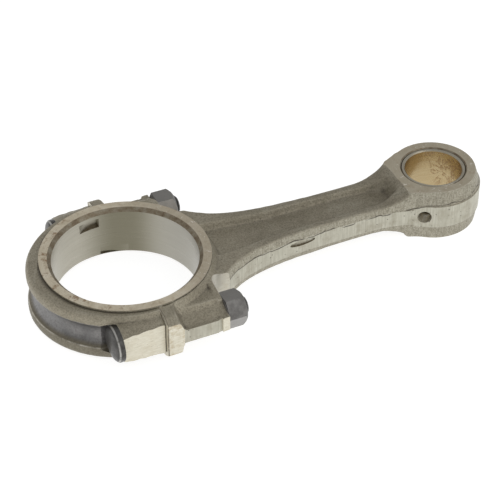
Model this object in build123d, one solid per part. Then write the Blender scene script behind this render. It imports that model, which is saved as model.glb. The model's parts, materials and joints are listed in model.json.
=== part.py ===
"""Connecting rod of a small air-cooled engine: forged rod and cap, two bolts, two nuts, one bush.

Frame: origin at the centre of the big-end bore, halfway through its width; +X runs to the small
end, +Y runs across the bolts and +Z along both bores. Everything is in millimetres.
"""
from build123d import *
import math
import os

# Both eyes
CENTRES = 139.0            # big-end bore axis to small-end bore axis
EYE_WIDTH = 23.0           # machined face to machined face

# Big end: housing bore, thrust rings and the slots for the bearing shells' tangs
HOUSING_R = 29.35
HOUSING_CHAMFER = 1.5
THRUST_R = 34.3
THRUST_STEP = 1.0          # thrust ring above the forged flange
# forged skirt round the rod's thrust ring: radius, z
RING_SKIRT = [(34.3, 10.5), (36.4, 7.0), (37.7, 4.0), (38.0, 0.0)]
TANG_WIDTH = 4.2
TANG_DEPTH = 1.8
CAP_TANG_Z = 6.3
CAP_TANG_CUTTER_R = 14.0   # sets how far the slot runs round the bore
ROD_TANG_Z = -8.8
ROD_TANG_CUTTER_R = 18.0

# Bolts and nuts
BOLT_Y = 35.3              # bolt axis from the rod's centre line
BOLT_R = 4.0
BOLT_HOLE_R = 4.05
HEAD_R = 7.7
HEAD_RIM = 1.7             # straight rim of the head, before its dome
HEAD_THICKNESS = 3.9
HEAD_POCKET_R = 7.85
HEAD_SEAT_X = -17.3
FAR_BOLT_SHIFT = 1.1       # the far head's seat is spot-faced this much deeper
NEAR_SEAT_X = 26.0
FAR_SEAT_X = 26.7
NUT_FLATS = 13.0
NUT_HEIGHT = 8.4
NUT_WASHER_R = 6.2
NUT_WASHER_STEP = 0.3
NEAR_NUT_TURN = -6.5       # degrees, as tightened
THREAD_CHAMFER = 0.8
BOLT_TIP_X = 36.0

# Rod side of the big end
# half section of the boss: y, z
ROD_BOSS = [(24.0, 7.4), (33.2, 6.7), (38.8, 3.8), (42.5, 1.6)]
ROD_SIDE_Y = 42.5          # trimmed side of the boss
ROD_SIDE_LOW = -3.7
ROD_SIDE_HIGH = 2.5
COLLAR_Y = 43.0            # machined collar under the nut
COLLAR_LENGTH = 2.9
COLLAR_HALF_HEIGHT = 3.3
GROOVE_LENGTH = 1.5
GROOVE_Y = 42.2
FAR_TRIM = 0.6             # the far boss and its collar are trimmed this much closer
LUG_Y = 43.2               # ridge beside the parting plane, near side
FAR_LUG_Y = 41.2           # the far ridge is trimmed closer
# the ridge's flank at its outer side: x, z
LUG_OUTER = [(4.4, 10.3), (5.2, 7.4), (8.1, 0.8), (8.1, -1.6), (6.4, -3.4), (5.9, -8.2), (5.0, -10.3)]
LUG_DRAFT = 1.22           # the ridge's width at the bolt axis over its width at its outer side
LUG_EDGE_Z = 7.4
LUG_CROWN = (39.8, 9.6)    # y, z of the ridge's upper corner
LUG_TOP_Z = 10.3
SEAT_CORNER_R = 4.2        # inside corner of the milled nut seat
SEAT_FLAT_Y = 26.3         # the flat seat starts here
SEAT_CUT_X = 42.0
PARTING_CHAMFER = 0.35

# Cap
CAP_LENGTH = 39.6          # bore axis to the cap's crown
CAP_HALF_WIDTH = 36.6      # bore axis to the flange edge at the parting plane
CAP_EDGE_DROP = 1.6        # bevel along the flange's outer edge
CAP_EDGE_INSET = 0.9
CAP_BOSS_R = 8.6           # at the parting plane
CAP_BOSS_END_R = 7.6       # at the head's seat
CAP_SIDE_Y = 41.0          # machined side of the boss
CHANNEL = [(6.0, 0.0), (4.4, 1.9), (2.3, 2.9), (0.0, 3.2)]  # the channel's round hollow: z, depth

# Shank: an I-section whose ribs narrow towards the small end
BAND_LOW = -3.0            # trimmed band left where the forging's flash was cut off
BAND_HIGH = 2.0
DRAFT = 7.0                # degrees, up to the ribs
DRAFT_CHANGE_Z = 6.4
EYE_DRAFT = 15.0           # degrees, where the forging rises to the small end's faces
RIB_Z_BIG = 7.5            # half-height of the ribs at the big end
RIB_Z_SMALL = 6.2          # and just before the small end
WEB_HALF = 3.2
RECESS_DRAFT = 25.0        # degrees
RECESS_END_X = 117.2
SHOULDER_Y = 36.0
SHOULDER_TOP = (30.0, 29.0, 6.3)  # a point on the shoulder's sloping top
SHOULDER_SLOPE = (0.32, 0.18)     # how fast it falls along x and y
TRIM_MARK_X = (67.0, 78.5)  # shallow oval dent from the flash trimmer
TRIM_MARK_Y = -10.3        # its floor
TRIM_MARK_Z = 1.2
TRIM_MARK_HEIGHT = 2.8

# Small end
EYE_BAND_R = 20.0
EYE_TOP_R = 17.7
EYE_BOTTOM_R = 18.8
EYE_BAND_LOW = -3.5
EYE_BAND_HIGH = 4.4
BUSH_R = 13.6
BUSH_BORE_R = 12.0
BUSH_LENGTH = 22.4
BUSH_CHAMFER = 0.45
EYE_BORE_CHAMFER = 0.5
OIL_HOLE_R = 2.9
OIL_HOLE_ANGLE = 232.5     # degrees from +X, seen from +Z
BUSH_OIL_HOLE_R = 2.0

REACH = 200.0              # longer than the part, for cutting tools


def across(x, y, z=0.0):
    """A location whose own Z axis runs along +X."""
    return Pos(x, y, z) * Rot(0, 90, 0)


def rod_along_x(radius, start, end, y):
    """A round bar parallel to X, from start to end."""
    return across((start + end) / 2, y) * Cylinder(radius, end - start)


def block(x, y, z):
    """A box given by its low and high corner on each axis."""
    size = [high - low for low, high in (x, y, z)]
    middle = [(high + low) / 2 for low, high in (x, y, z)]
    return Pos(*middle) * Box(*size)


def flipped(point):
    """A plan point on the other side of the centre line."""
    return (point[0], -point[1])


def both_sides(shape):
    """A shape and its mirror image in the XZ plane."""
    return shape + mirror(shape, Plane.XZ)


def rod_half():
    return block((0, REACH), (-REACH, REACH), (-REACH, REACH))


def cap_half():
    return block((-REACH, 0), (-REACH, REACH), (-REACH, REACH))


# ---- cuts that the rod and the cap share

def bore_cutter(radius, bevel):
    """Cutter for a vertical bore through both faces, with a 45 degree chamfer at each mouth."""
    face = EYE_WIDTH / 2
    mouth = radius + bevel
    upper = [(radius, face - bevel), (mouth, face), (mouth + 1, face + 1), (0, face + 1)]
    lower = [(r, -z) for r, z in reversed(upper)]
    return revolve(Plane.XZ * make_face(Polyline(*lower, *upper, close=True)), Axis.Z)


def housing_bore():
    """Cutter for the big-end bore with its two chamfers."""
    return bore_cutter(HOUSING_R, HOUSING_CHAMFER)


def bolt_holes():
    return both_sides(rod_along_x(BOLT_HOLE_R, -REACH / 2, REACH / 2, BOLT_Y))


def parting_bevel(y):
    """Cutter for the small bevel where the parting face meets the outer side at this y."""
    size = PARTING_CHAMFER * math.sqrt(2)
    return Pos(0, y, 0) * Rot(0, 0, 45) * Box(size, size, REACH)


def tang_slot(side, z, cutter_r):
    """Slot in the +Y wall of the bore, run out by a round cutter; side is +1 on the rod, -1 on the cap."""
    cutter = Pos(0, HOUSING_R + TANG_DEPTH - cutter_r, z) * Cylinder(cutter_r, TANG_WIDTH)
    low, high = sorted((0.0, side * cutter_r))
    return cutter & block((low, high), (0, REACH), (-REACH, REACH))


# ---- rod

def drafted(outline, low, high, angle, inset=0.0):
    """A prism between two heights whose plan outline draws in by the draft angle as it rises."""
    end_inset = inset + (high - low) * math.tan(math.radians(angle))
    return loft([Pos(0, 0, low) * outline(inset), Pos(0, 0, high) * outline(end_inset)], ruled=True)


def drafted_flange(low):
    """One side of the shank above its trimmed band, with more draft beside the small end."""
    inset = (DRAFT_CHANGE_Z - low) * math.tan(math.radians(DRAFT))
    ribs = drafted(shank_outline, low, DRAFT_CHANGE_Z, DRAFT)
    return ribs + drafted(shank_outline, DRAFT_CHANGE_Z, 13.0, EYE_DRAFT, inset)


def shank_outline(inset=0.0):
    """Plan outline of the shank and its shoulders, drawn in towards the centre line by inset."""
    shoulder = (30.0, 31.0 - inset)
    eye = (129.0, 17.3 - inset)
    waist = [(34.5, 22.9), (44.0, 16.7), (57.0, 12.9), (72.0, 11.2), (90.0, 10.7), (106.0, 10.8),
             (114.0, 11.6), (121.0, 13.5)]
    side = Spline(shoulder, *[(x, y - inset) for x, y in waist], eye)
    corner = (24.0, SHOULDER_Y - inset)
    near_side = mirror(side, Plane.XZ)
    end = (CENTRES, eye[1])
    start = (0, corner[1])
    small_end_side = Polyline(*[flipped(p) for p in (eye, end)], end, eye)
    big_end_side = Polyline(shoulder, corner, start, *[flipped(p) for p in (start, corner, shoulder)])
    return make_face([side, near_side, small_end_side, big_end_side])


def shank_side_view():
    """Side view of the shank: the ribs slope down to the small end, then rise into its faces."""
    face = EYE_WIDTH / 2
    rise = Spline((108.0, RIB_Z_SMALL), (114.5, 7.4), (121.6, face), tangents=((1, -0.015), (0.7, 1)))
    top = Polyline((0, RIB_Z_BIG), (108.0, RIB_Z_SMALL))
    back = Polyline((121.6, face), (CENTRES, face), (CENTRES, 0), (0, 0), (0, RIB_Z_BIG))
    half = make_face(top + rise + back)
    upper = extrude(Plane.XZ * half, REACH / 2, both=True)
    return upper + mirror(upper, Plane.XY)


def recess_outline(inset=0.0):
    """Plan outline of the recess, from inside the thrust ring to the foot of the small end."""
    floor = [(44.0, 8.4), (60.0, 6.4), (80.0, 5.9), (100.0, 5.7)]
    start = (28.0, 8.2 - inset)
    corner = (112.0, 5.2 - inset)
    side = Spline(start, *[(x, y - inset) for x, y in floor], corner)
    foot = (RECESS_END_X - inset, 2.8 - 0.6 * inset)
    foot_side = Polyline(corner, foot, flipped(foot), flipped(corner))
    return make_face([side, mirror(side, Plane.XZ), foot_side, Line(flipped(start), start)])


def shank():
    band = Pos(0, 0, BAND_LOW) * extrude(shank_outline(), BAND_HIGH - BAND_LOW)
    body = band + drafted_flange(BAND_HIGH) + mirror(drafted_flange(-BAND_LOW), Plane.XY)
    body &= shank_side_view()
    recess = drafted(recess_outline, WEB_HALF, 13.0, -RECESS_DRAFT)
    return body - recess - mirror(recess, Plane.XY)


def trim_mark():
    """Shallow oval dent in the near side of the shank's band."""
    start, end = TRIM_MARK_X
    oval = Plane.XZ * Ellipse((end - start) / 2, TRIM_MARK_HEIGHT / 2)
    return Pos((start + end) / 2, TRIM_MARK_Y, TRIM_MARK_Z) * extrude(oval, SHOULDER_Y)


def small_end():
    face = EYE_WIDTH / 2
    profile = Polyline((0, -face), (EYE_BOTTOM_R, -face), (EYE_BAND_R, EYE_BAND_LOW),
                       (EYE_BAND_R, EYE_BAND_HIGH), (EYE_TOP_R, face), (0, face), close=True)
    return Pos(CENTRES, 0, 0) * revolve(Plane.XZ * make_face(profile), Axis.Z)


def section_bar(upper, length):
    """A bar along +X whose section is given by its upper half, mirrored below."""
    lower = [(y, -z) for y, z in reversed(upper)]
    return extrude(Plane.YZ * make_face(Polyline(*upper, *lower, close=True)), length)


def rod_boss(seat_x, ridge_y, trim=0.0):
    """One bolt boss with its trimmed side, groove and collar, and the ridge at the parting plane."""
    collar_x = seat_x - COLLAR_LENGTH
    groove_x = collar_x - GROOVE_LENGTH
    boss = section_bar(ROD_BOSS, seat_x)
    boss += block((0, collar_x), (BOLT_Y, ROD_SIDE_Y), (ROD_SIDE_LOW, ROD_SIDE_HIGH))
    boss -= block((0, seat_x), (ROD_SIDE_Y - trim, REACH), (-REACH, REACH))
    boss -= block((groove_x, collar_x), (GROOVE_Y - trim, REACH), (-REACH, REACH))
    boss += block((collar_x, seat_x), (BOLT_Y, COLLAR_Y - trim), (-COLLAR_HALF_HEIGHT, COLLAR_HALF_HEIGHT))
    return boss + (parting_ridge() & block((0, REACH), (0, ridge_y), (-REACH, REACH)))


def ridge_section(y, widening):
    """The ridge's outline seen along the bolts' common plane, at one distance from the centre line."""
    top, bottom = LUG_OUTER[0][1], LUG_OUTER[-1][1]
    flank = [(x * widening, z) for x, z in LUG_OUTER]
    return Pos(0, y, 0) * (Plane.XZ * make_face(Polyline((0, top), *flank, (0, bottom), close=True)))


def parting_ridge():
    """The ridge beside the parting plane: its flank slopes away from the outer side and from mid-height."""
    inner_widening = 1 + (LUG_DRAFT - 1) * (LUG_Y - SHOULDER_Y) / (LUG_Y - BOLT_Y)
    ridge = loft([ridge_section(SHOULDER_Y, inner_widening), ridge_section(LUG_Y, 1)], ruled=True)
    ridge += extrude(ridge_section(SHOULDER_Y, inner_widening), SHOULDER_Y - 24, dir=(0, -1, 0))
    section = [(24.0, LUG_TOP_Z), (THRUST_R, LUG_TOP_Z), LUG_CROWN, (LUG_Y, LUG_EDGE_Z)]
    return ridge & section_bar(section, REACH)


def nut_seat_cut(seat_x):
    """What the end mill takes away above one nut seat: a flat seat and a wall with a round corner."""
    wall_y = SEAT_FLAT_Y - SEAT_CORNER_R
    corner_x = seat_x + SEAT_CORNER_R
    seat = block((seat_x, SEAT_CUT_X), (SEAT_FLAT_Y, REACH), (-REACH, REACH))
    wall = block((corner_x, SEAT_CUT_X), (wall_y, SEAT_FLAT_Y + 1), (-REACH, REACH))
    corner = Pos(corner_x, SEAT_FLAT_Y, 0) * Cylinder(SEAT_CORNER_R, REACH)
    return seat + wall + corner


def ring_skirt():
    """The forging's slope round the thrust rings, on the rod's half."""
    lower = [(r, -z) for r, z in reversed(RING_SKIRT[:-1])]
    profile = Polyline((0, RING_SKIRT[0][1]), *RING_SKIRT, *lower, (0, -RING_SKIRT[0][1]), close=True)
    return revolve(Plane.XZ * make_face(profile), Axis.Z) & rod_half()


def shoulder_top_cut():
    """What is missing above the shoulder's sloping top, beside the nut seat."""
    plane = Plane(origin=SHOULDER_TOP, z_dir=(*SHOULDER_SLOPE, 1))
    above = plane * Pos(0, 0, REACH / 4) * Box(SEAT_CUT_X, SEAT_CUT_X, REACH / 2)
    return above & block((24, REACH), (22, 34), (0, REACH))


def oil_hole(radius):
    """Radial hole through the near wall of the small end."""
    return Pos(CENTRES, 0, 0) * Rot(0, 0, OIL_HOLE_ANGLE) * across(15, 0) * Cylinder(radius, 30)


def rod():
    cut = shoulder_top_cut()
    body = shank() - both_sides(cut + mirror(cut, Plane.XY))
    body += mirror(rod_boss(NEAR_SEAT_X, LUG_Y), Plane.XZ) + rod_boss(FAR_SEAT_X, FAR_LUG_Y, FAR_TRIM)
    body += ring_skirt()
    body -= mirror(nut_seat_cut(NEAR_SEAT_X), Plane.XZ) + nut_seat_cut(FAR_SEAT_X)
    body += Cylinder(THRUST_R, EYE_WIDTH) & rod_half()
    body += small_end()
    body -= housing_bore() + bolt_holes() + tang_slot(1, ROD_TANG_Z, ROD_TANG_CUTTER_R)
    body -= parting_bevel(-LUG_Y) + parting_bevel(FAR_LUG_Y)
    body -= Pos(CENTRES, 0, 0) * bore_cutter(BUSH_R, EYE_BORE_CHAMFER)
    body -= oil_hole(OIL_HOLE_R) + trim_mark()
    return body


# ---- cap

def cap_outline(inset=0.0):
    """The cap's plan outline, inset from the flange edge."""
    return make_face(Ellipse(CAP_LENGTH - inset, CAP_HALF_WIDTH - inset).edges())


def cap_shell():
    """Two flanges with a hollow channel between them, and the raised thrust ring."""
    face_z = EYE_WIDTH / 2 - THRUST_STEP
    bevel_z = face_z - CAP_EDGE_DROP
    edge_z = CHANNEL[0][0]
    upper = Pos(0, 0, edge_z) * extrude(cap_outline(), bevel_z - edge_z)
    layers = [(bevel_z, 0.0, face_z, CAP_EDGE_INSET)]
    layers += [(low, deep, high, shallow) for (high, shallow), (low, deep) in zip(CHANNEL, CHANNEL[1:])]
    for low, low_inset, high, high_inset in layers:
        sections = [Pos(0, 0, low) * cap_outline(low_inset), Pos(0, 0, high) * cap_outline(high_inset)]
        upper += loft(sections, ruled=True)
    return upper + mirror(upper, Plane.XY) + Cylinder(THRUST_R, EYE_WIDTH)


def cap_boss(seat_x):
    boss = across(seat_x / 2, BOLT_Y) * Cone(CAP_BOSS_END_R, CAP_BOSS_R, -seat_x)
    return boss & block((seat_x, 0), (0, CAP_SIDE_Y), (-REACH, REACH))


def head_pocket(seat_x):
    """Room for a bolt head, spot-faced down to its seat."""
    return rod_along_x(HEAD_POCKET_R, -REACH / 2, seat_x, BOLT_Y)


def cap():
    far_seat_x = HEAD_SEAT_X + FAR_BOLT_SHIFT
    body = cap_shell() - (mirror(head_pocket(HEAD_SEAT_X), Plane.XZ) + head_pocket(far_seat_x))
    body += mirror(cap_boss(HEAD_SEAT_X), Plane.XZ) + cap_boss(far_seat_x)
    body &= cap_half()
    body -= housing_bore() + bolt_holes() + tang_slot(-1, CAP_TANG_Z, CAP_TANG_CUTTER_R)
    return body - both_sides(parting_bevel(CAP_SIDE_Y))


# ---- bush, bolts and nuts

def small_end_bush():
    tube = Cylinder(BUSH_R, BUSH_LENGTH) - Cylinder(BUSH_BORE_R, BUSH_LENGTH)
    tube = chamfer(tube.edges().filter_by(GeomType.CIRCLE), BUSH_CHAMFER)
    return Pos(CENTRES, 0, 0) * tube - oil_hole(BUSH_OIL_HOLE_R)


def bolt(y, shift=0.0):
    """Round-headed bolt from the cap side: domed head, plain shank and chamfered tip."""
    rim_x = HEAD_SEAT_X - HEAD_RIM
    crown_x = HEAD_SEAT_X - HEAD_THICKNESS
    side = Polyline((crown_x, 0), (HEAD_SEAT_X, 0), (HEAD_SEAT_X, HEAD_R), (rim_x, HEAD_R))
    dome = Spline((rim_x, HEAD_R), (crown_x, 0), tangents=((-1, -0.6), (0, -1)))
    head = revolve(make_face(side + dome), Axis.X)
    stem = Polyline((HEAD_SEAT_X - 1, 0), (HEAD_SEAT_X - 1, BOLT_R), (BOLT_TIP_X - THREAD_CHAMFER, BOLT_R),
                    (BOLT_TIP_X, BOLT_R - THREAD_CHAMFER), (BOLT_TIP_X, 0), close=True)
    return Pos(shift, y, 0) * (head + revolve(make_face(stem), Axis.X))


def nut(seat_x, y, turn=0.0):
    """Hexagon nut with a washer face on its seat and a turned chamfer at its outer end."""
    corner_r = NUT_FLATS / math.sqrt(3)
    hexagon = Plane.YZ * RegularPolygon(NUT_FLATS / 2, 6, major_radius=False)
    body = Pos(NUT_WASHER_STEP, 0, 0) * extrude(hexagon, NUT_HEIGHT - NUT_WASHER_STEP)
    turned = Polyline((0, 0), (0, corner_r + 0.2), (NUT_HEIGHT - 1.6, corner_r + 0.2),
                      (NUT_HEIGHT, corner_r - 1.5), (NUT_HEIGHT, 0), close=True)
    body &= revolve(make_face(turned), Axis.X)
    body += across(NUT_WASHER_STEP, 0) * Cylinder(NUT_WASHER_R, 2 * NUT_WASHER_STEP)
    body -= across(NUT_HEIGHT / 2, 0) * Cylinder(BOLT_HOLE_R, 2 * NUT_HEIGHT)
    countersink = Polyline((NUT_HEIGHT - 0.7, 0), (NUT_HEIGHT - 0.7, BOLT_R), (NUT_HEIGHT, BOLT_R + 0.7),
                           (NUT_HEIGHT, 0), close=True)
    body -= revolve(make_face(countersink), Axis.X)
    return Pos(seat_x, y, 0) * Rot(turn, 0, 0) * body


def main():
    os.makedirs("parts", exist_ok=True)
    pieces = {
        "rod": rod(),
        "cap": cap(),
        "small_end_bush": small_end_bush(),
        "bolt_near": bolt(-BOLT_Y),
        "bolt_far": bolt(BOLT_Y, FAR_BOLT_SHIFT),
        "nut_near": nut(NEAR_SEAT_X, -BOLT_Y, NEAR_NUT_TURN),
        "nut_far": nut(FAR_SEAT_X, BOLT_Y),
    }
    for name, shape in pieces.items():
        export_step(shape, f"parts/{name}.step")


main()
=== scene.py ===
"""Looks of a used forged connecting rod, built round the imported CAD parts.

The rod and the cap are remade the way the real ones are made. The CAD solid gets machining stock, is
remeshed and smoothed into a rough forging, and exact cutters then bring back its finished faces. The
bush, the bolts and the nuts stay the CAD's own meshes, with new materials.
"""
import json
import math

import bmesh
import bpy
import numpy as np
from mathutils import Matrix, Vector


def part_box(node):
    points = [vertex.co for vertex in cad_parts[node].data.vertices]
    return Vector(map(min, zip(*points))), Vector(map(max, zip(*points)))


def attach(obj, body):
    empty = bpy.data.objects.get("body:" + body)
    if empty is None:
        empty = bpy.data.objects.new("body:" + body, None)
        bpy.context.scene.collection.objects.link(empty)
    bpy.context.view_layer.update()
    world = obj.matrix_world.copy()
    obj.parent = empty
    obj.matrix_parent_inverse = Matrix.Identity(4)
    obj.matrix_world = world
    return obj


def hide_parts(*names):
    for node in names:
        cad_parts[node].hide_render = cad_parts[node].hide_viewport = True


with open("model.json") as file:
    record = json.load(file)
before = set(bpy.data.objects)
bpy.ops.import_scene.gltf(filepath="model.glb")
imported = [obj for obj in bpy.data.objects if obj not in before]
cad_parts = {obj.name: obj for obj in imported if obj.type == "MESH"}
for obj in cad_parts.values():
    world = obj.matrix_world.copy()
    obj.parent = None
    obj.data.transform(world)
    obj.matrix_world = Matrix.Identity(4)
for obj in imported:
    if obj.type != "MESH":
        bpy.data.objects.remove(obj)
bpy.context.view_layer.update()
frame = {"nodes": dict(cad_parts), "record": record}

MM = 0.001
WELD = 2e-6                      # points closer than this are one point
Y, Z = Vector((0, 1, 0)), Vector((0, 0, 1))
mounts = {m["name"]: m for m in frame["record"]["mounts"]}

# Places and sizes read from the frame
BORE_R = mounts["big_end_bore"]["dims"]["r_mm"] * MM
EYE = Vector(mounts["small_end_bore"]["pos_m"])
FACE_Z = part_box("rod")[1].z
BUSH_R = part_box("small_end_bush")[1].y
BOLT_Y = (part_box("bolt_far")[0].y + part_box("bolt_far")[1].y) / 2
NUT_SEATS = {-1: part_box("nut_near")[0].x, 1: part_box("nut_far")[0].x}
HEAD_CROWNS = {-1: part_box("bolt_near")[0].x, 1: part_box("bolt_far")[0].x}
CAP_SIDE_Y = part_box("cap")[1].y

# Machined features of the rod and the cap, as in the CAD
BORE_CHAMFER = 1.5 * MM
EYE_CHAMFER = 0.5 * MM
BOLT_HOLE_R = 4.05 * MM
OIL_HOLE_R = 2.9 * MM
OIL_HOLE_TURN = math.radians(232.5)
EYE_INSIDE, EYE_OUTSIDE = 10 * MM, 30 * MM       # radii inside the eye's bore and past its outer side
BAND_SECTION_Z = -2.95 * MM      # a height inside the trimmed band, below the oil hole
HEAD_THICKNESS = 3.9 * MM
HEAD_RIM_R = 7.7 * MM
CAP_BOSS_R = 9.2 * MM
BRIDGE_HALF_WIDTH = 3.2 * MM     # covers the bolt hole where a boss is cut in two
THRUST_R = 34.3 * MM
THRUST_STEP = 0.95 * MM
CHANNEL_EDGE_Z = 6.02 * MM
RIDGE_SIDE_Y = 40 * MM           # only the ridges beside the parting face reach further out than this
RIDGE_END_X = 9 * MM
COLLAR_START, COLLAR_END = 3 * MM, 9 * MM        # from a nut's seat: towards the cap, and away
POCKET_R = 7.85 * MM             # round a bolt head, in the cap
TANG_DEPTH = 1.8 * MM
TANG_WIDTH = 4.2 * MM
ROD_TANG_R, ROD_TANG_Z = 18 * MM, -8.8 * MM
CAP_TANG_R, CAP_TANG_Z = 14 * MM, 6.3 * MM
TRIM_MARK = (72.75 * MM, -10.3 * MM, 1.2 * MM)   # middle of its floor
TRIM_MARK_SIZE = (5.75 * MM, 1.4 * MM)           # half length, half height

# How far the cutters go: past the end of any cut, and well past the whole rod or cap
OVERRUN = 10 * MM
HOLE_DEPTH = 40 * MM
BEYOND = 60 * MM

# Making the forging
VOXEL = 0.5 * MM
STOCK = 2.6 * MM                 # material left on every face that is machined later
FLASH = 1.4 * MM                 # how far the flash stands out before it is trimmed off
FLASH_LOW, FLASH_HIGH = -2.8 * MM, 2.3 * MM
EYE_FLASH_LOW, EYE_FLASH_HIGH = -4.5 * MM, 4.8 * MM
EYE_FLASH_R = 21.4 * MM
CAP_SWELL = 0.25 * MM            # makes up for what the smoothing takes off the cap
ROD_ROUNDS, CAP_ROUNDS = 24, 20  # how often the skin is smoothed
CAP_PULL = 0.12                  # how far each point moves towards its neighbours' mean, each time
BIG_END_PULL, SHANK_PULL = 0.14, 0.24
SHANK_START = 34 * MM
SHANK_BLEND = 14 * MM            # length over which the smoothing goes from one strength to the other
SHARP_ANGLE = math.radians(28)   # edges sharper than this are shaded as creases
OIL_PLUG = (12 * MM, 19.9 * MM)  # from inside the eye's wall to just under its outer side

# In millimetres: the stock on a shoulder before its nut seat is milled, and the bolts' thread
SHOULDER_PLAN = [(24, 20), (36.5, 20), (34.5, 22.9), (30, 31), (26, 36), (24, 36)]
SHOULDER_TOP = (30.0, 29.0, 6.3)                 # a point on the sloping top
SHOULDER_SLOPE = (0.32, 0.18)                    # how fast the top falls along x and y
THREAD_PITCH = 1.0
THREAD_START = 12.0              # where the plain shank ends

# Tones that several finishes share
# the darkest tone is dirt in pits and in the flash seam, and also painted shade in hollows and round the
# bush's outer edge
DIRT_AND_SHADE = (0.045, 0.036, 0.026)
SEAM_DIRT = (0.085, 0.062, 0.038)
BARE_STEEL = (0.62, 0.59, 0.5)

# The camera points at the origin and is then moved across its view. Angles are in degrees.
CAMERA_AZIMUTH = -24.94
CAMERA_ELEVATION = 38.89
CAMERA_ROLL = 0.13
CAMERA_DISTANCE = 0.74755
CAMERA_SHIFT = (0.04927, 0.01070)                # to its right, and upwards
LENS_MM = 135.06
SENSOR_MM = 36

# The studio: a pale glowing floor under an even sky, and one large soft light
FLOOR_SIZE = 3
FLOOR_TONE = 0.35
FLOOR_GLOW = 0.86
HORIZON_TONE, ZENITH_TONE = 0.75, 0.6
KEY_PLACE = (0.5, -0.7, 0.5)
KEY_SIZE = 0.7
KEY_POWER = 1.5
KEY_TONE = (1, 0.99, 0.97)


# ---- materials

class Paint:
    """A metal finish being built up, with textures placed in millimetres in the part's own frame."""

    def __init__(self, name):
        self.material = bpy.data.materials.new(name)
        self.material.use_nodes = True
        self.tree = self.material.node_tree
        self.shader = self.tree.nodes["Principled BSDF"]
        coords = self.node("TexCoord")
        self.place = self.vector("MULTIPLY", coords.outputs["Object"], (1 / MM,) * 3)
        self.x, self.y, self.z = self.node("SeparateXYZ", {0: self.place}).outputs
        self.nx, self.ny, self.nz = self.node("SeparateXYZ", {0: coords.outputs["Normal"]}).outputs
        self.sharpness = self.node("NewGeometry").outputs["Pointiness"]

    def node(self, kind, inputs=None, **settings):
        made = self.tree.nodes.new("ShaderNode" + kind)
        for key, value in settings.items():
            setattr(made, key, value)
        for key, value in (inputs or {}).items():
            if isinstance(value, bpy.types.NodeSocket):
                self.tree.links.new(value, made.inputs[key])
            else:
                made.inputs[key].default_value = value
        return made

    def vector(self, operation, a, b=(0, 0, 0)):
        made = self.node("VectorMath", {0: a, 1: b}, operation=operation)
        return made.outputs["Value" if operation == "LENGTH" else "Vector"]

    def maths(self, operation, a, b=0.0):
        return self.node("Math", {0: a, 1: b}, operation=operation).outputs[0]

    def noise(self, scale, detail=3.0, rough=0.6, place=None, warp=0.0):
        """Cloudy noise about 0.5; scale is in cells per millimetre."""
        inputs = {"Vector": self.place if place is None else place, "Scale": scale, "Detail": detail,
                  "Roughness": rough, "Distortion": warp}
        return self.node("TexNoise", inputs).outputs["Fac"]

    def cells(self, scale):
        """Distance from scattered points, for pits and flecks."""
        return self.node("TexVoronoi", {"Vector": self.place, "Scale": scale}).outputs["Distance"]

    def band(self, value, low, high, start=0.0, end=1.0):
        """A smooth step from start to end as the value passes from low to high."""
        inputs = {"Value": value, "From Min": low, "From Max": high, "To Min": start, "To Max": end}
        return self.node("MapRange", inputs, interpolation_type="SMOOTHSTEP").outputs["Result"]

    def ramp(self, value, *stops):
        made = self.node("ValToRGB", {"Fac": value})
        spots = made.color_ramp.elements
        while len(spots) < len(stops):
            spots.new(0.5)
        for spot, (place, tone) in zip(spots, stops):
            spot.position = place
            spot.color = (*tone, 1)
        return made.outputs["Color"]

    def mix(self, share, a, b):
        made = self.node("Mix", {0: share}, data_type="RGBA")
        for index, tone in ((6, a), (7, b)):
            if isinstance(tone, bpy.types.NodeSocket):
                self.tree.links.new(tone, made.inputs[index])
            else:
                made.inputs[index].default_value = (*tone, 1)
        return made.outputs[2]

    def bump(self, height, depth, below=None):
        """A bump whose full height is depth, in millimetres, laid over another one."""
        inputs = {"Height": height, "Distance": depth * MM, "Strength": 1.0}
        if below is not None:
            inputs["Normal"] = below
        return self.node("Bump", inputs).outputs["Normal"]

    def near(self, value, target, inside, outside):
        """One where the value is within inside of the target, none beyond outside."""
        gap = self.maths("ABSOLUTE", self.maths("SUBTRACT", value, target))
        return self.band(gap, inside, outside, 1, 0)

    def times(self, first, *others):
        for other in others:
            first = self.maths("MULTIPLY", first, other)
        return first

    def from_axis(self, x):
        """Distance from the vertical axis at this x, in millimetres."""
        level = self.vector("MULTIPLY", self.place, (1, 1, 0))
        return self.vector("LENGTH", self.vector("SUBTRACT", level, (x, 0, 0)))

    def hollow_shade_and_worn_edges(self, tone, hollow_shade, wear):
        """Paints shade into the hollows of a shape and brightens its outer edges."""
        # painted shade in the hollows; wear on the outer edges
        tone = self.mix(self.band(self.sharpness, 0.462, 0.494, hollow_shade, 0), tone, DIRT_AND_SHADE)
        return self.mix(self.band(self.sharpness, 0.51, 0.56, 0, wear), tone, BARE_STEEL)

    def finish(self, tone, rough, metal, normal=None):
        wanted = {"Base Color": tone, "Roughness": rough, "Metallic": metal, "Normal": normal}
        for key, value in wanted.items():
            if value is None:
                continue
            if isinstance(value, bpy.types.NodeSocket):
                self.tree.links.new(value, self.shader.inputs[key])
            else:
                self.shader.inputs[key].default_value = (*value, 1) if key == "Base Color" else value
        return self.material


def outer_side(p):
    """One on the steep outer sides of the shank and the small end."""
    steep = p.band(p.maths("ABSOLUTE", p.nz), 0.3, 0.62, 1, 0)
    outward = p.band(p.times(p.ny, p.y), 0.0, 0.8)
    return p.times(steep, outward, p.band(p.x, 27, 34))


def flash_line(p):
    """The thin dark seam at the upper edge of the trimmed band; it climbs towards the small end."""
    wander = p.band(p.noise(0.1, 3, 0.6), 0.2, 0.8, -0.8, 0.8)
    height = p.maths("ADD", p.band(p.x, 112, 136, 3.0, 6.1), wander)
    broken = p.band(p.noise(0.16, 2, 0.5), 0.38, 0.5)
    return p.times(p.near(p.z, height, 0.08, 0.38), outer_side(p), broken)


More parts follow.
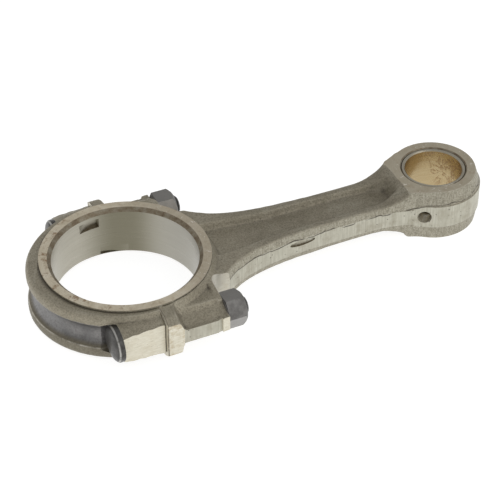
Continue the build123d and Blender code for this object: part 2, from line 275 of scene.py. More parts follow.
def parting_dirt(p):
    """Dirt drawn into the joint between rod and cap, but not on the joint faces themselves."""
    outside = p.band(p.maths("ABSOLUTE", p.nx), 0.8, 0.92, 1, 0)
    return p.times(p.near(p.x, 0, 0.2, 0.5), p.band(p.noise(0.5, 3), 0.2, 0.5), outside)


def pits(p, scale, size, share):
    """Scattered pits; share is how much of the surface is pitted at all."""
    patches = p.band(p.noise(0.09, 3, 0.6), 0.62 - share / 2, 0.72 - share / 2)
    return p.times(p.band(p.cells(scale), 0.0, size, 1, 0), patches)


def side_streaks(p):
    """Fine marks running up and down the sheared and drafted sides."""
    return p.noise(1.0, 3, 0.6, p.vector("MULTIPLY", p.place, (1.3, 1.3, 0.12)))


def forged_skin():
    """Shot-blasted forging: warm olive grey, grainy, mottled; painted light makes the steep outer sides
    lighter, and painted shade darkens the cap's lower flange and the hollows.
    """
    p = Paint("forged_skin")
    grain = p.noise(1.5, 3, 0.7)
    tone = p.ramp(p.noise(0.09, 4, 0.65), (0.3, (0.25, 0.222, 0.165)), (0.5, (0.305, 0.275, 0.21)),
                  (0.72, (0.36, 0.335, 0.265)))
    rough_patches = p.band(p.noise(0.55, 4, 0.7), 0.5, 0.66, 0, 0.4)
    tone = p.mix(rough_patches, tone, (0.2, 0.188, 0.128))
    big_end = p.band(p.from_axis(0), 44, 62, 0.32, 0)
    tone = p.mix(big_end, tone, (0.42, 0.38, 0.29))
    # painted shade: the cap's lower flange is made darker and browner
    lower_flange = p.times(p.band(p.x, -4, 0, 1, 0), p.band(p.z, -5.6, -6.2, 0, 0.55))
    tone = p.mix(lower_flange, tone, (0.13, 0.117, 0.085))
    # painted light: the steep outer sides are made lighter; the fine up-and-down marks on them are real
    side = p.ramp(side_streaks(p), (0.3, (0.31, 0.288, 0.22)), (0.7, (0.48, 0.455, 0.37)))
    tone = p.mix(p.times(outer_side(p), 0.85), tone, side)
    tone = p.mix(p.band(grain, 0.34, 0.6, 0.45, 0), tone, (0.12, 0.105, 0.075))
    holes = pits(p, 0.55, 0.17, 0.5)
    tone = p.mix(p.times(holes, 0.7), tone, DIRT_AND_SHADE)
    tone = p.mix(p.times(flash_line(p), 0.9), tone, DIRT_AND_SHADE)
    tone = p.mix(p.times(parting_dirt(p), 0.8), tone, SEAM_DIRT)
    # painted shade in the forging's hollows, and lighter outer edges
    tone = p.hollow_shade_and_worn_edges(tone, 0.75, 0.45)
    normal = p.bump(p.noise(0.45, 2, 0.5), 0.12)
    normal = p.bump(grain, 0.11, normal)
    normal = p.bump(holes, -0.12, normal)
    return p.finish(tone, p.band(grain, 0.3, 0.7, 0.62, 0.48), 0.6, normal)


def channel_skin():
    """The cap's channel: smoother and blue-grey, with a painted highlight across its middle and a
    painted highlight line under each flange.
    """
    p = Paint("channel_skin")
    cloud = p.noise(0.12, 4, 0.6)
    grain = p.noise(1.2, 3, 0.7)
    tone = p.ramp(cloud, (0.3, (0.12, 0.118, 0.115)), (0.55, (0.19, 0.185, 0.18)),
                  (0.75, (0.26, 0.25, 0.24)))
    # painted highlight across the middle of the channel, where it lies furthest out
    middle = p.band(p.x, -30, -37, 0, 0.6)
    tone = p.mix(middle, tone, (0.29, 0.285, 0.28))
    lower_edge = p.band(p.z, -3.6, -5.4)
    tone = p.mix(lower_edge, tone, (0.17, 0.15, 0.108))
    # painted highlight: a light line along the channel's edge under each flange
    worn = p.near(p.maths("ABSOLUTE", p.z), 5.75, 0.1, 0.4)
    tone = p.mix(p.times(worn, p.band(p.noise(0.2), 0.35, 0.6, 0.2, 0.9)), tone, (0.5, 0.47, 0.4))
    tone = p.mix(p.band(grain, 0.34, 0.55, 0.35, 0), tone, (0.07, 0.065, 0.06))
    return p.finish(tone, 0.42, 0.75, p.bump(grain, 0.07, p.bump(p.noise(0.35, 2), 0.12)))


def trimmed_edge():
    """The band sheared by the trimming die: lighter, with fine marks running up and down."""
    p = Paint("trimmed_edge")
    tone = p.ramp(side_streaks(p), (0.3, (0.40, 0.384, 0.31)), (0.7, (0.54, 0.525, 0.44)))
    tone = p.mix(p.band(p.noise(0.12, 4, 0.7), 0.45, 0.7, 0, 0.55), tone, (0.30, 0.27, 0.2))
    holes = pits(p, 0.45, 0.2, 0.55)
    tone = p.mix(p.times(holes, 0.85), tone, DIRT_AND_SHADE)
    tone = p.mix(p.times(flash_line(p), 0.9), tone, DIRT_AND_SHADE)
    normal = p.bump(side_streaks(p), 0.05)
    normal = p.bump(p.noise(0.8, 3, 0.6), 0.1, normal)
    return p.finish(tone, 0.46, 0.6, p.bump(holes, -0.15, normal))


def ground_face():
    """The faces ground flat at both eyes: satin, tan with age, faintly marked round the bore."""
    p = Paint("ground_face")
    from_bore = p.maths("MINIMUM", p.from_axis(0), p.from_axis(EYE.x / MM))
    lines = p.node("TexNoise", {"W": from_bore, "Scale": 4.0, "Detail": 3.0},
                   noise_dimensions="1D").outputs["Fac"]
    age = p.noise(0.16, 5, 0.7, warp=0.6)
    tone = p.ramp(age, (0.3, (0.54, 0.475, 0.35)), (0.5, (0.66, 0.59, 0.455)),
                  (0.72, (0.76, 0.70, 0.575)))
    rod_half = p.times(p.band(p.x, 6, 26, 0, 0.5), p.band(p.x, 50, 60, 1, 0))
    tone = p.mix(rod_half, tone, (0.36, 0.315, 0.24))
    small_end = p.band(p.x, 100, 110, 0, 0.7)
    tone = p.mix(small_end, tone, (0.36, 0.325, 0.245))
    tone = p.mix(p.band(lines, 0.3, 0.7, 0.2, 0), tone, (0.2, 0.16, 0.105))
    rust = p.times(p.band(p.noise(0.35, 4, 0.7), 0.5, 0.66), p.band(p.x, -26, 4, 0.85, 0.25))
    tone = p.mix(rust, tone, (0.26, 0.165, 0.09))
    nicks = p.times(p.band(p.noise(0.55, 3, 0.6, warp=1.0), 0.63, 0.68), p.band(p.x, 16, 26), 0.7)
    tone = p.mix(nicks, tone, (0.82, 0.78, 0.70))
    normal = p.bump(lines, 0.03)
    normal = p.bump(nicks, -0.08, normal)
    return p.finish(tone, p.band(age, 0.3, 0.7, 0.42, 0.32), 0.8, p.bump(p.noise(1.2, 3), 0.04, normal))


def bored_wall():
    """The honed bore: satin silver with fine lines round it; painted reflection makes the middle of its
    far wall darker and olive, and its shank end greyer.
    """
    p = Paint("bored_wall")
    lines = p.noise(1.0, 4, 0.7, p.vector("MULTIPLY", p.place, (0.05, 0.05, 2.6)))
    tone = p.ramp(lines, (0.25, (0.37, 0.35, 0.29)), (0.5, (0.42, 0.40, 0.335)),
                  (0.75, (0.46, 0.44, 0.375)))
    # painted reflection: the middle of the far wall is darker and olive
    olive = p.times(p.band(p.ny, -0.35, -0.95), p.near(p.x, 10, 3, 22))
    tone = p.mix(p.times(olive, 0.85), tone, (0.165, 0.153, 0.103))
    # painted reflection: the shank end of the bore is greyer
    silver = p.band(p.x, 16, 28, 0, 0.7)
    tone = p.mix(silver, tone, (0.35, 0.34, 0.305))
    return p.finish(tone, p.band(lines, 0.3, 0.7, 0.34, 0.27), 0.9, p.bump(lines, 0.02))


def bore_chamfer():
    """Chamfers, and the steep walls of the tang slots and the trim mark: tarnished, rusty in patches."""
    p = Paint("bore_chamfer")
    rust = p.noise(0.3, 4, 0.7)
    tone = p.ramp(rust, (0.35, (0.29, 0.26, 0.2)), (0.55, (0.205, 0.163, 0.108)),
                  (0.7, (0.13, 0.095, 0.065)))
    return p.finish(tone, 0.5, 0.7, p.bump(p.noise(1.0, 3), 0.05))


def milled_face():
    """Bright machined faces: the bosses' sides, nut seats, parting faces and drilled holes."""
    p = Paint("milled_face")
    lay = p.noise(1.0, 3, 0.6, p.vector("MULTIPLY", p.place, (0.3, 1.0, 1.6)))
    tone = p.ramp(lay, (0.3, (0.60, 0.56, 0.445)), (0.55, (0.69, 0.655, 0.54)),
                  (0.75, (0.75, 0.72, 0.62)))
    # painted shade on the nut seats' walls, darkest next to the nut
    seat_wall_shade = p.times(p.band(p.x, 26.2, 27), p.band(p.maths("ABSOLUTE", p.y), 27, 29, 1, 0))
    tone = p.mix(p.times(seat_wall_shade, p.band(p.x, 27, 33, 0.75, 0.3)), tone, (0.44, 0.43, 0.395))
    ridge = p.times(p.band(p.x, 0, 0.6), p.band(p.x, 9, 12, 1, 0))
    stain = p.band(p.noise(0.22, 5, 0.72), 0.44, 0.64, 0, 0.75)
    tone = p.mix(p.times(stain, p.maths("ADD", p.times(ridge, 0.8), 0.2)), tone, (0.44, 0.355, 0.21))
    tone = p.mix(p.times(pits(p, 0.9, 0.2, 0.6), 0.6), tone, (0.16, 0.13, 0.09))
    tone = p.mix(p.times(parting_dirt(p), 0.85), tone, SEAM_DIRT)
    return p.finish(tone, 0.42, 0.55, p.bump(lay, 0.04))


def bronze():
    """The bush: bored bronze with brown oil stains on one side, and a steel-grey end."""
    p = Paint("bronze_bush")
    lines = p.noise(1.0, 4, 0.7, p.vector("MULTIPLY", p.place, (0.06, 0.06, 2.2)))
    smear = p.noise(0.15, 4, 0.65, p.vector("MULTIPLY", p.place, (1, 1, 0.8)), warp=1.2)
    tone = p.ramp(lines, (0.3, (0.46, 0.355, 0.19)), (0.6, (0.52, 0.42, 0.25)))
    stained_side = p.band(p.maths("ADD", p.x, p.times(p.z, 0.35)), EYE.x / MM + 3, EYE.x / MM + 8)
    stained = p.times(p.near(smear, 0.5, 0.012, 0.045), stained_side)
    tone = p.mix(p.times(stained, 0.42), tone, (0.32, 0.17, 0.08))
    end = p.band(p.maths("ABSOLUTE", p.nz), 0.5, 0.75)
    tone = p.mix(end, tone, (0.35, 0.325, 0.265))
    # painted shade round the bush's outer edge, in the joint with the eye
    rim = p.band(p.from_axis(EYE.x / MM), BUSH_R / MM - 0.4, BUSH_R / MM - 0.1, 0, 0.85)
    tone = p.mix(rim, tone, DIRT_AND_SHADE)
    rough = p.maths("ADD", p.band(stained, 0, 1, 0.24, 0.45), p.times(end, 0.15))
    return p.finish(tone, rough, 0.92, p.bump(lines, 0.02))


def dark_steel(name, low, high, rough):
    """Heat-treated steel, worn a little lighter in places."""
    p = Paint(name)
    wear = p.noise(0.35, 5, 0.7)
    tone = p.ramp(wear, (0.35, low), (0.65, high))
    flecks = p.times(p.band(p.cells(0.9), 0.0, 0.14, 1, 0), p.band(p.noise(0.3), 0.5, 0.6))
    tone = p.mix(p.times(flecks, 0.6), tone, (0.42, 0.41, 0.40))
    return p, tone, p.band(wear, 0.35, 0.65, rough + 0.06, rough - 0.05)


def nut_steel():
    """The nuts: blackened, with painted light on some flats: a painted reflection of the floor on the
    lower flats, and lighter top flats and far-nut inner flats.
    """
    p, tone, rough = dark_steel("nut_steel_dark", (0.135, 0.13, 0.124), (0.185, 0.18, 0.172), 0.5)
    # painted reflection of the pale floor on the lower flats
    lower_flats = p.band(p.nz, -0.1, -0.45)
    tone = p.mix(lower_flats, tone, (0.34, 0.332, 0.318))
    # painted light on the top flats
    top_flats = p.band(p.nz, 0.7, 0.9)
    tone = p.mix(top_flats, tone, (0.225, 0.218, 0.205))
    # painted light on the far nut's flats that face the near side
    far_nut_inner_flats = p.times(p.band(p.y, 0, 1), p.band(p.ny, -0.5, -0.8))
    tone = p.mix(far_nut_inner_flats, tone, (0.3, 0.285, 0.265))
    return p.finish(tone, rough, 0.75, p.bump(p.noise(1.3, 3, 0.6), 0.07))


def bolt_steel():
    """The bolts: a painted highlight round the rim of the head, and a rolled thread on the end of the
    shank.
    """
    p, tone, rough = dark_steel("bolt_steel_dark", (0.06, 0.058, 0.054), (0.105, 0.102, 0.097), 0.36)
    side = p.maths("SIGN", p.y)
    local_y = p.maths("SUBTRACT", p.y, p.times(side, BOLT_Y / MM))
    from_bolt = p.vector("LENGTH", p.node("CombineXYZ", {0: 0, 1: local_y, 2: p.z}).outputs[0])
    # painted highlight round the rim of the head, broken up by noise
    rim = p.times(p.near(from_bolt, HEAD_RIM_R / MM - 0.35, 0.1, 0.35), p.band(p.noise(0.4), 0.3, 0.5))
    tone = p.mix(p.times(rim, p.band(p.x, -16, -15, 0.8, 0)), tone, (0.5, 0.49, 0.46))
    turn = p.maths("DIVIDE", p.maths("ARCTAN2", p.z, local_y), 2 * math.pi)
    phase = p.maths("FRACT", p.maths("ADD", p.maths("DIVIDE", p.x, THREAD_PITCH), turn))
    ridge = p.maths("ABSOLUTE", p.maths("SUBTRACT", p.times(phase, 2), 1))
    thread = p.times(ridge, p.band(p.x, THREAD_START, THREAD_START + 1.2))
    normal = p.bump(thread, 0.45, p.bump(p.noise(1.6, 3, 0.6), 0.04))
    return p.finish(tone, rough, 0.85, normal)


SKIN, TRIMMED, GROUND, BORED = forged_skin(), trimmed_edge(), ground_face(), bored_wall()
CHANNEL, CHAMFER, MILLED, BRONZE = channel_skin(), bore_chamfer(), milled_face(), bronze()
BOLT_STEEL, NUT_STEEL = bolt_steel(), nut_steel()


# ---- mesh helpers

def new_object(name, bm, *finishes):
    """An object made from a bmesh, with a list of materials."""
    mesh = bpy.data.meshes.new(name)
    bm.to_mesh(mesh)
    bm.free()
    for finish in finishes:
        mesh.materials.append(finish)
    obj = bpy.data.objects.new(name, mesh)
    bpy.context.scene.collection.objects.link(obj)
    return obj


def discard(obj):
    mesh = obj.data
    bpy.data.objects.remove(obj)
    bpy.data.meshes.remove(mesh)


def apply_modifiers(obj):
    """Turns an object's mesh into what its modifiers make of it."""
    bpy.context.view_layer.update()
    graph = bpy.context.evaluated_depsgraph_get()
    mesh = bpy.data.meshes.new_from_object(obj.evaluated_get(graph))
    obj.modifiers.clear()
    old = obj.data
    obj.data = mesh
    bpy.data.meshes.remove(old)


def boolean(obj, other, operation):
    """Adds, removes or intersects another mesh, which is used up."""
    modifier = obj.modifiers.new(operation, "BOOLEAN")
    modifier.operation = operation
    modifier.solver = "MANIFOLD"
    modifier.material_mode = "TRANSFER"
    modifier.object = other
    apply_modifiers(obj)
    discard(other)


def cad_mesh(node):
    """A CAD node's mesh as a bmesh, with its doubled points joined."""
    bm = bmesh.new()
    bm.from_mesh(frame["nodes"][node].data)
    bmesh.ops.remove_doubles(bm, verts=bm.verts, dist=WELD)
    bm.normal_update()
    return bm


def drum(bm, radius, start, end, segments=64):
    """Adds a round bar between two points."""
    start, end = Vector(start), Vector(end)
    turn = (end - start).to_track_quat("Z", "Y").to_matrix().to_4x4()
    place = Matrix.Translation((start + end) / 2) @ turn
    bmesh.ops.create_cone(bm, cap_ends=True, segments=segments, radius1=radius, radius2=radius,
                          depth=(end - start).length, matrix=place)


def slab(bm, low, high):
    """Adds a box between two corners."""
    low, high = Vector(low), Vector(high)
    place = Matrix.Translation((low + high) / 2) @ Matrix.Diagonal((high - low).to_4d())
    bmesh.ops.create_cube(bm, size=1, matrix=place)


def signed_area(outline):
    """The area inside a plan outline: positive if it runs anticlockwise."""
    return sum(a[0] * b[1] - b[0] * a[1] for a, b in zip(outline, outline[1:] + outline[:1])) / 2


def prism(bm, outline, low, high):
    """Adds a vertical prism over a closed plan outline, and returns its corners."""
    if signed_area(outline) < 0:
        outline = outline[::-1]
    bottom = [bm.verts.new((x, y, low)) for x, y in outline]
    top = [bm.verts.new((x, y, high)) for x, y in outline]
    bm.faces.new(bottom[::-1])
    bm.faces.new(top)
    for i, j in zip(range(len(outline)), [*range(1, len(outline)), 0]):
        bm.faces.new((bottom[i], bottom[j], top[j], top[i]))
    return bottom + top


def lathe(bm, profile, centre=(0, 0, 0), segments=256):
    """Adds the solid turned about Z from a profile of (radius, z) points that is closed by the axis."""
    place = Matrix.Translation(centre)
    verts = [bm.verts.new((r, 0, z)) for r, z in profile]
    edges = [bm.edges.new(pair) for pair in zip(verts, verts[1:])]
    bmesh.ops.spin(bm, geom=verts + edges, cent=(0, 0, 0), axis=Z, angle=2 * math.pi, steps=segments,
                   use_merge=True, use_normal_flip=False)
    bmesh.ops.remove_doubles(bm, verts=bm.verts, dist=WELD)
    bmesh.ops.recalc_face_normals(bm, faces=bm.faces)
    bmesh.ops.transform(bm, matrix=place, verts=bm.verts)


def new_bmesh(build, *args, **options):
    """A fresh bmesh filled by one of the builders above."""
    bm = bmesh.new()
    build(bm, *args, **options)
    return bm


# ---- from CAD solid to rough forging

def stretch(bm, axis, position, distance):
    """Moves a flat machined face outwards; its corners slide along the faces beside it."""
    others = [i for i in range(3) if i != axis]
    moves = []
    for v in bm.verts:
        if abs(v.co[axis] - position) > 5 * WELD:
            continue
        beside = [f.normal for f in v.link_faces if abs(f.normal[axis]) < 0.6]
        move = Vector((0, 0, 0))
        move[axis] = distance
        if beside:
            rows = np.array([[n[i] for i in others] for n in beside])
            wanted = np.array([-distance * n[axis] for n in beside])
            slide = np.linalg.lstsq(rows, wanted, rcond=0.2)[0]
            for i, amount in zip(others, slide):
                move[i] = amount
        moves.append((v, move))
    for v, move in moves:
        v.co += move


def outlines(bm, height):
    """The closed plan outlines where a mesh is cut at a height. The mesh is used up."""
    bmesh.ops.bisect_plane(bm, geom=bm.verts[:] + bm.edges[:] + bm.faces[:], plane_co=(0, 0, height),
                           plane_no=Z, clear_inner=True, clear_outer=True)
    loops, seen = [], set()
    for first in bm.verts:
        if first in seen:
            continue
        loop, v = [], first
        while v is not None and v not in seen:
            seen.add(v)
            loop.append((v.co.x, v.co.y))
            v = next((n for n in (e.other_vert(v) for e in v.link_edges) if n not in seen), None)
        loops.append(loop)
    bm.free()
    return loops


def read_rows(items, field, width, kind):
    """One field of every vertex, normal or edge of a mesh, as an array with a row for each."""
    values = np.empty(len(items) * width, kind)
    items.foreach_get(field, values)
    return values.reshape(-1, width)


def smoothed(points, edges, rounds, pull):
    """Points drawn towards their neighbours' mean, a number of times; pull is each point's share."""
    count = len(points)
    a, b = edges.T
    degree = np.bincount(edges.ravel(), minlength=count)[:, None]
    for _ in range(rounds):
        sums = [np.bincount(a, line[b], count) + np.bincount(b, line[a], count) for line in points.T]
        points = points + pull[:, None] * (np.stack(sums, 1) / degree - points)
    return points


def forge(name, bm, rounds, weight, swell=0.0):
    """Remeshes a set of overlapping solids into one skin and rounds its edges like a forging's.

    The skin is then pushed out along its normals by swell.
    """
    obj = new_object(name, bm, SKIN)
    remesh = obj.modifiers.new("remesh", "REMESH")
    remesh.mode = "VOXEL"
    remesh.voxel_size = VOXEL
    apply_modifiers(obj)
    mesh = obj.data
    points = read_rows(mesh.vertices, "co", 3, float)
    points = smoothed(points, read_rows(mesh.edges, "vertices", 2, int), rounds, weight(points))
    mesh.vertices.foreach_set("co", points.ravel())
    mesh.update()
    outward = read_rows(mesh.vertex_normals, "vector", 3, np.float32)
    mesh.vertices.foreach_set("co", (points + swell * outward).ravel())
    mesh.update()
    return obj


def half_disc(radius, side, overhang):
    """Plan outline of half a disc on one side of the parting plane, running a little past it."""
    turns = [math.pi * (i / 32 - 0.5) for i in range(33)]
    arc = [(side * radius * math.cos(t), radius * math.sin(t)) for t in turns]
    return [(-side * overhang, -radius), *arc, (-side * overhang, radius)]


def grow(outline, distance):
    """A plan outline moved outwards by a distance."""
    count = len(outline)
    turn = 1 if signed_area(outline) > 0 else -1
    grown = []
    for i, (x, y) in enumerate(outline):
        ax, ay = outline[i - 1]
        bx, by = outline[(i + 1) % count]
        along_x, along_y = bx - ax, by - ay
        length = max(math.hypot(along_x, along_y), WELD)
        grown.append((x + turn * distance * along_y / length, y - turn * distance * along_x / length))
    return grown


def rod_outlines():
    """The rod's plan outlines in its trimmed band: its body without the bores, and the bosses' strips.

    The bolt holes part each boss at this height, so its outer strip is a loop of its own.
    """
    loops = sorted(outlines(cad_mesh("rod"), BAND_SECTION_Z), key=len, reverse=True)
    body = [p for p in loops[0] if math.hypot(*p) > BORE_R + 0.1 * MM]
    strips = [loop for loop in loops[1:] if max(x for x, _ in loop) < EYE.x / 2]
    return body, strips


def oil_hole_bar(bm, radius, start, end):
    """Adds a radial bar in the small end, along the oil hole."""
    along = Vector((math.cos(OIL_HOLE_TURN), math.sin(OIL_HOLE_TURN), 0))
    drum(bm, radius, EYE + along * start, EYE + along * end)


def machined_sides(bm, least):
    """Where the flat faces that look along Y are, as distinct places further out than a given one."""
    found = {round(f.calc_center_median().y, 5) for f in bm.faces if abs(f.normal.y) > 0.99}
    return sorted(y for y in found if abs(y) > least)


def rod_blank():
    """The rod before it is machined.

    Its machined faces are moved out, its holes are plugged with slightly larger bars, and the flash
    stands out all round its parting line.
    """
    bm = cad_mesh("rod")
    for y in machined_sides(bm, BOLT_Y + 4.5 * MM):
        stretch(bm, 1, y, math.copysign(STOCK, y))
    for z in (-FACE_Z, FACE_Z):
        stretch(bm, 2, z, math.copysign(STOCK, z))
    stretch(bm, 0, 0, -STOCK)
    for seat in NUT_SEATS.values():
        stretch(bm, 0, seat, STOCK)
    top = FACE_Z + STOCK
    prism(bm, half_disc(BORE_R + 2 * MM, 1, STOCK), -top, top)
    drum(bm, BUSH_R + MM, EYE - Z * top, EYE + Z * top)
    oil_hole_bar(bm, OIL_HOLE_R + 0.2 * MM, *OIL_PLUG)
    for side in (-1, 1):
        y = side * BOLT_Y
        drum(bm, BOLT_HOLE_R + 0.5 * MM, (-STOCK, y, 0), (NUT_SEATS[side] + STOCK, y, 0))
        shoulder_stock(bm, side)
    prism(bm, grow(rod_outlines()[0], FLASH), FLASH_LOW, FLASH_HIGH)
    drum(bm, EYE_FLASH_R, EYE + Z * EYE_FLASH_LOW, EYE + Z * EYE_FLASH_HIGH, 128)
    return bm


def shoulder_stock(bm, side):
    """Fills the shoulder beside a nut seat up to its sloping top, for the seat to be cut into."""
    for v in prism(bm, [(x * MM, side * y * MM) for x, y in SHOULDER_PLAN], -MM, MM):
        v.co.z *= shoulder_height(v.co.x / MM, abs(v.co.y) / MM)


def shoulder_height(x, y):
    """Height of the shoulder's sloping top at a place in plan, all in millimetres."""
    top_x, top_y, top_z = SHOULDER_TOP
    return top_z - SHOULDER_SLOPE[0] * (x - top_x) - SHOULDER_SLOPE[1] * (y - top_y)


def rod_rounding(points):
    """How strongly each point is smoothed: the shank's fillets are larger than the big end's."""
    along = np.clip((points[:, 0] - SHANK_START) / SHANK_BLEND, 0, 1)
    return BIG_END_PULL + (SHANK_PULL - BIG_END_PULL) * along * along * (3 - 2 * along)


def trim_die():
    """The solid that the finished rod must stay inside: its trimmed outline between machined faces."""
    body, strips = rod_outlines()
    finishes = (TRIMMED, GROUND, MILLED)
    die = new_object("die", new_bmesh(prism, body, -FACE_Z, FACE_Z), *finishes)
    for strip in strips:
        boolean(die, new_object("strip", new_bmesh(prism, strip, -FACE_Z, FACE_Z)), "UNION")
    for side in (-1, 1):
        y = side * BOLT_Y
        bridge = new_bmesh(slab, (0, y - BRIDGE_HALF_WIDTH, -FACE_Z),
                           (NUT_SEATS[side], y + BRIDGE_HALF_WIDTH, FACE_Z))
        boolean(die, new_object("bridge", bridge), "UNION")
    for face in die.data.polygons:
        face.material_index = die_finish(face.center, face.normal)
    return die


def die_finish(centre, normal):
    """Which of the die's three finishes a face leaves behind: trimmed, ground or milled."""
    if abs(normal.z) > 0.9:
        return 1
    from_seat = centre.x - NUT_SEATS[1 if centre.y > 0 else -1]
    collar = -COLLAR_START < from_seat < COLLAR_END
    ridge = centre.x < RIDGE_END_X and abs(centre.y) > RIDGE_SIDE_Y
    parting_face = centre.x < MM
    return 2 if collar or ridge or parting_face else 0


def second_finish(cutter, axis, least=0.9):
    """Gives a cutter's second finish to the faces that look along an axis: at 0.9, just its ends."""
    for face in cutter.data.polygons:
        face.material_index = int(abs(face.normal.dot(axis)) > least)
    return cutter


def bore_cutter(radius, chamfer, centre):
    """Cutter for a bore between the machined faces, with a chamfer at each end."""
    edge = radius + chamfer
    half = [(0, FACE_Z + MM), (edge + MM, FACE_Z + MM), (edge, FACE_Z), (radius, FACE_Z - chamfer)]
    profile = half + [(r, -z) for r, z in reversed(half)]
    return second_finish(new_object("bore", new_bmesh(lathe, profile, centre), BORED, CHAMFER), Z, 0.1)


def bolt_hole_cutter(y, start, end):
    """Cutter for a bolt hole, from one x to another."""
    return new_object("hole", new_bmesh(drum, BOLT_HOLE_R, (start, y, 0), (end, y, 0)), MILLED)


def oil_hole_cutter():
    """Cutter for the oil hole, from inside the small end's bore to past its outer side."""
    bar = new_bmesh(oil_hole_bar, OIL_HOLE_R, EYE_INSIDE, EYE_OUTSIDE)
    return new_object("oil_hole", bar, MILLED)


def ring_steps():
    """Cutters that leave the thrust rings standing above the forged flanges, one for each face."""
    steps = []
    for side in (-1, 1):
        low = side * (FACE_Z - THRUST_STEP) * Z
        high = side * (FACE_Z + 2 * MM) * Z
        step = new_object("step", new_bmesh(drum, BEYOND, low, high, 96), SKIN)
        core = new_bmesh(drum, THRUST_R, low - side * MM * Z, high + side * MM * Z, 256)
        boolean(step, new_object("core", core, SKIN), "DIFFERENCE")
        steps.append(step)
    return steps


def finished_rod():
    """The rod: forged, trimmed, and machined."""
    obj = forge("rod_forging", rod_blank(), ROD_ROUNDS, rod_rounding)
    boolean(obj, trim_die(), "INTERSECT")
    cutters = [bore_cutter(BORE_R, BORE_CHAMFER, (0, 0, 0)), bore_cutter(BUSH_R, EYE_CHAMFER, EYE)]
    cutters += [bolt_hole_cutter(y, -OVERRUN, HOLE_DEPTH) for y in (-BOLT_Y, BOLT_Y)]
    cutters += [oil_hole_cutter(), tang_cutter(ROD_TANG_R, ROD_TANG_Z), trim_mark_cutter()]
    for cutter in cutters + ring_steps():
        boolean(obj, cutter, "DIFFERENCE")
    return obj


def tang_cutter(radius, z):
    """Cutter for the slot that takes a bearing shell's tang, in the far wall of the bore."""
    y = BORE_R + TANG_DEPTH - radius
    bar = new_bmesh(drum, radius, (0, y, z - TANG_WIDTH / 2), (0, y, z + TANG_WIDTH / 2), 128)
    return second_finish(new_object("tang", bar, BORED, CHAMFER), Z)


def trim_mark_cutter():
    """Cutter for the shallow oval dent in the near side of the shank: a round bar, squeezed."""
    x, y, z = TRIM_MARK
    length, height = TRIM_MARK_SIZE
    bar = new_bmesh(drum, 1, (0, y, 0), (0, y - 1, 0), 96)
    bmesh.ops.scale(bar, vec=(length, 1, height), verts=bar.verts)
    bmesh.ops.translate(bar, vec=(x, 0, z), verts=bar.verts)
    return second_finish(new_object("trim_mark", bar, CHAMFER, TRIMMED), Y)


def cap_rounding(points):
    """How strongly each point is smoothed: the same all over the cap."""
    return np.full(len(points), CAP_PULL)


def cap_die():
    """The solid that the finished cap must stay inside, with a small bevel beside its parting face."""
    bevel = 0.35 * MM
    half = [(-BEYOND, CAP_SIDE_Y), (-bevel, CAP_SIDE_Y), (0, CAP_SIDE_Y - bevel)]
    plan = [(x, -y) for x, y in half] + half[::-1]
    return second_finish(new_object("die", new_bmesh(prism, plan, -FACE_Z, FACE_Z), MILLED, GROUND), Z)


def finished_cap():
    """The cap: forged, and machined."""
    obj = forge("cap_forging", cap_blank(), CAP_ROUNDS, cap_rounding, CAP_SWELL)
    boolean(obj, cap_die(), "INTERSECT")
    cutters = [bore_cutter(BORE_R, BORE_CHAMFER, (0, 0, 0)), tang_cutter(CAP_TANG_R, CAP_TANG_Z)]
    for side in (-1, 1):
        y = side * BOLT_Y
        cutters.append(bolt_hole_cutter(y, -HOLE_DEPTH, OVERRUN))
        pocket = new_bmesh(drum, POCKET_R, (-BEYOND, y, 0), (head_seat(side), y, 0), 96)
        cutters.append(new_object("pocket", pocket, CHANNEL))
    for cutter in cutters + ring_steps():
        boolean(obj, cutter, "DIFFERENCE")
    paint_channel(obj)
    return obj


def head_seat(side):
    """Where the bolt head on this side meets the cap."""
    return HEAD_CROWNS[side] + HEAD_THICKNESS


def paint_channel(cap):
    """Gives the channel between the cap's flanges its own finish, as far as the bolt bosses."""
    cap.data.materials.append(CHANNEL)
    last = len(cap.data.materials) - 1
    for face in cap.data.polygons:
        x, y, z = face.center
        on_boss = x > head_seat(1 if y > 0 else -1) and math.hypot(abs(y) - BOLT_Y, z) < CAP_BOSS_R
        if cap.data.materials[face.material_index] == SKIN and abs(z) < CHANNEL_EDGE_Z and not on_boss:
            face.material_index = last


def cap_blank():
    """The cap before it is machined, with its faces moved out and its holes and pockets plugged."""
    bm = cad_mesh("cap")
    for y in (-CAP_SIDE_Y, CAP_SIDE_Y):
        stretch(bm, 1, y, math.copysign(STOCK, y))
    for z in (-FACE_Z, FACE_Z):
        stretch(bm, 2, z, math.copysign(STOCK, z))
    stretch(bm, 0, 0, STOCK)
    top = FACE_Z + STOCK
    prism(bm, half_disc(BORE_R + 2 * MM, -1, STOCK), -top, top)
    for side in (-1, 1):
        y, seat = side * BOLT_Y, head_seat(side)
        drum(bm, BOLT_HOLE_R + 0.5 * MM, (STOCK, y, 0), (seat - STOCK, y, 0))
        drum(bm, POCKET_R - 0.8 * MM, (seat + MM, y, 0), (seat - 5 * MM, y, 0))
    return bm


def finish_mesh(obj, node, body):
    """Shades a forging, and lets it stand for its CAD node."""
    obj.data.shade_smooth()
    obj.data.set_sharp_from_angle(angle=SHARP_ANGLE)
    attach(obj, body)
    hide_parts(node)


rod = finished_rod()
finish_mesh(rod, "rod", "rod_assembly")
cap = finished_cap()
finish_mesh(cap, "cap", "bearing_cap")
for name, finish in (("small_end_bush", BRONZE), ("bolt_near", BOLT_STEEL), ("bolt_far", BOLT_STEEL),
                     ("nut_near", NUT_STEEL), ("nut_far", NUT_STEEL)):
    frame["nodes"][name].data.materials[0] = finish


# ---- camera, light and floor

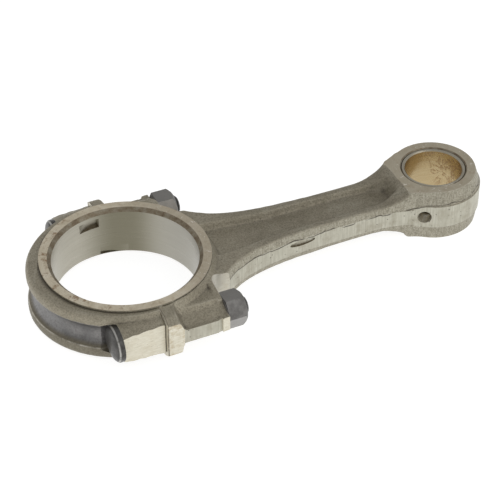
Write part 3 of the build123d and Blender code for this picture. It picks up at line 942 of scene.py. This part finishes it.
def photo_camera():
    """A long lens looking down on the big end, with the small end behind and to the right."""
    a, e, roll = (math.radians(v) for v in (CAMERA_AZIMUTH, CAMERA_ELEVATION, CAMERA_ROLL))
    back = Vector((math.sin(a) * math.cos(e), -math.cos(a) * math.cos(e), math.sin(e)))
    level = Vector((math.cos(a), math.sin(a), 0))
    upward = back.cross(level)
    right = math.cos(roll) * level + math.sin(roll) * upward
    up = back.cross(right)
    place = back * CAMERA_DISTANCE + level * CAMERA_SHIFT[0] + upward * CAMERA_SHIFT[1]
    data = bpy.data.cameras.new("camera")
    data.sensor_width, data.lens = SENSOR_MM, LENS_MM
    data.clip_start, data.clip_end = 0.05, 10
    camera = bpy.data.objects.new("camera", data)
    camera.matrix_world = Matrix.Translation(place) @ Matrix((right, up, back)).transposed().to_4x4()
    bpy.context.scene.collection.objects.link(camera)
    bpy.context.scene.camera = camera


def area_light(name, place, size, power, tone):
    data = bpy.data.lights.new(name, "AREA")
    data.shape, data.size, data.energy, data.color = "DISK", size, power, tone
    light = bpy.data.objects.new(name, data)
    light.location = place
    light.rotation_euler = (EYE / 2 - Vector(place)).to_track_quat("-Z", "Y").to_euler()
    bpy.context.scene.collection.objects.link(light)


def studio():
    """A pale floor under the lower face, an even sky, and a soft light from the near side."""
    grid = new_bmesh(bmesh.ops.create_grid, x_segments=2, y_segments=2, size=FLOOR_SIZE)
    floor = new_object("floor", grid)
    floor.location.z = -FACE_Z
    paint = bpy.data.materials.new("studio_floor")
    paint.use_nodes = True
    shader = paint.node_tree.nodes["Principled BSDF"]
    shader.inputs["Base Color"].default_value = (FLOOR_TONE, FLOOR_TONE, FLOOR_TONE, 1)
    shader.inputs["Roughness"].default_value = 0.9
    shader.inputs["Emission Color"].default_value = (1, 1, 1, 1)
    shader.inputs["Emission Strength"].default_value = FLOOR_GLOW
    floor.data.materials.append(paint)
    world = bpy.data.worlds.new("studio")
    world.use_nodes = True
    nodes, links = world.node_tree.nodes, world.node_tree.links
    ramp = nodes.new("ShaderNodeValToRGB")
    split = nodes.new("ShaderNodeSeparateXYZ")
    links.new(nodes.new("ShaderNodeTexCoord").outputs["Generated"], split.inputs[0])
    links.new(split.outputs["Z"], ramp.inputs["Fac"])
    links.new(ramp.outputs["Color"], nodes["Background"].inputs["Color"])
    for stop, position, tone in zip(ramp.color_ramp.elements, (0.0, 0.5), (HORIZON_TONE, ZENITH_TONE)):
        stop.position = position
        stop.color = (tone, tone, tone, 1)
    bpy.context.scene.world = world
    bpy.context.scene.view_settings.view_transform = "Standard"
    area_light("key", KEY_PLACE, KEY_SIZE, KEY_POWER, KEY_TONE)


photo_camera()
studio()
